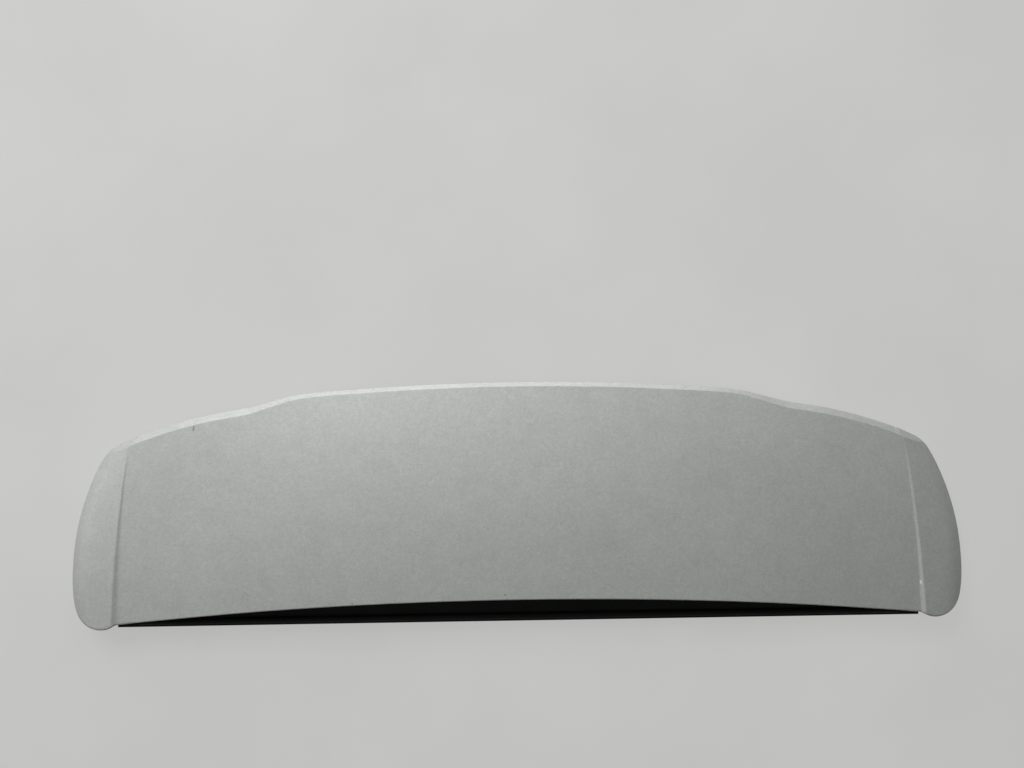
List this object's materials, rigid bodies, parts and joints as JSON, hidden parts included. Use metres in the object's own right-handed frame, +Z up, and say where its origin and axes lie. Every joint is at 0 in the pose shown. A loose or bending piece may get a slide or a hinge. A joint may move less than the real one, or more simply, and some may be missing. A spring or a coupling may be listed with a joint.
{
  "type": "tailgate spoiler",
  "caption": "Wide painted tailgate spoiler: crowned panel with stepped trailing edge and raised end ears over a black carrier with mounting studs, dowels, clips and seals.",
  "frame": {"origin": "centre of the outer four studs, on the plane where the stud towers seat on the tailgate", "axes": "+X to the right seen from above with the trailing edge away, +Y rearward to the trailing edge, +Z up out of the painted face"},
  "size_m": [1.198, 0.3203, 0.081],
  "materials": {
    "paint": "light silver metallic paint with clear coat on moulded plastic",
    "carrier": "black moulded plastic, fine grain",
    "zinc": "zinc plated steel",
    "foam": "closed cell foam rubber, matt",
    "clip": "natural nylon",
    "seal": "black rubber"
  },
  "bodies": {
    "root": {"outer_skin": "paint", "inner_carrier": "carrier", "mounting_studs": "zinc", "stud_gaskets": "foam", "push_clips": "clip", "front_seal": "seal", "left_ear_pad": "foam", "right_ear_pad": "foam"}
  },
  "joints": []
}
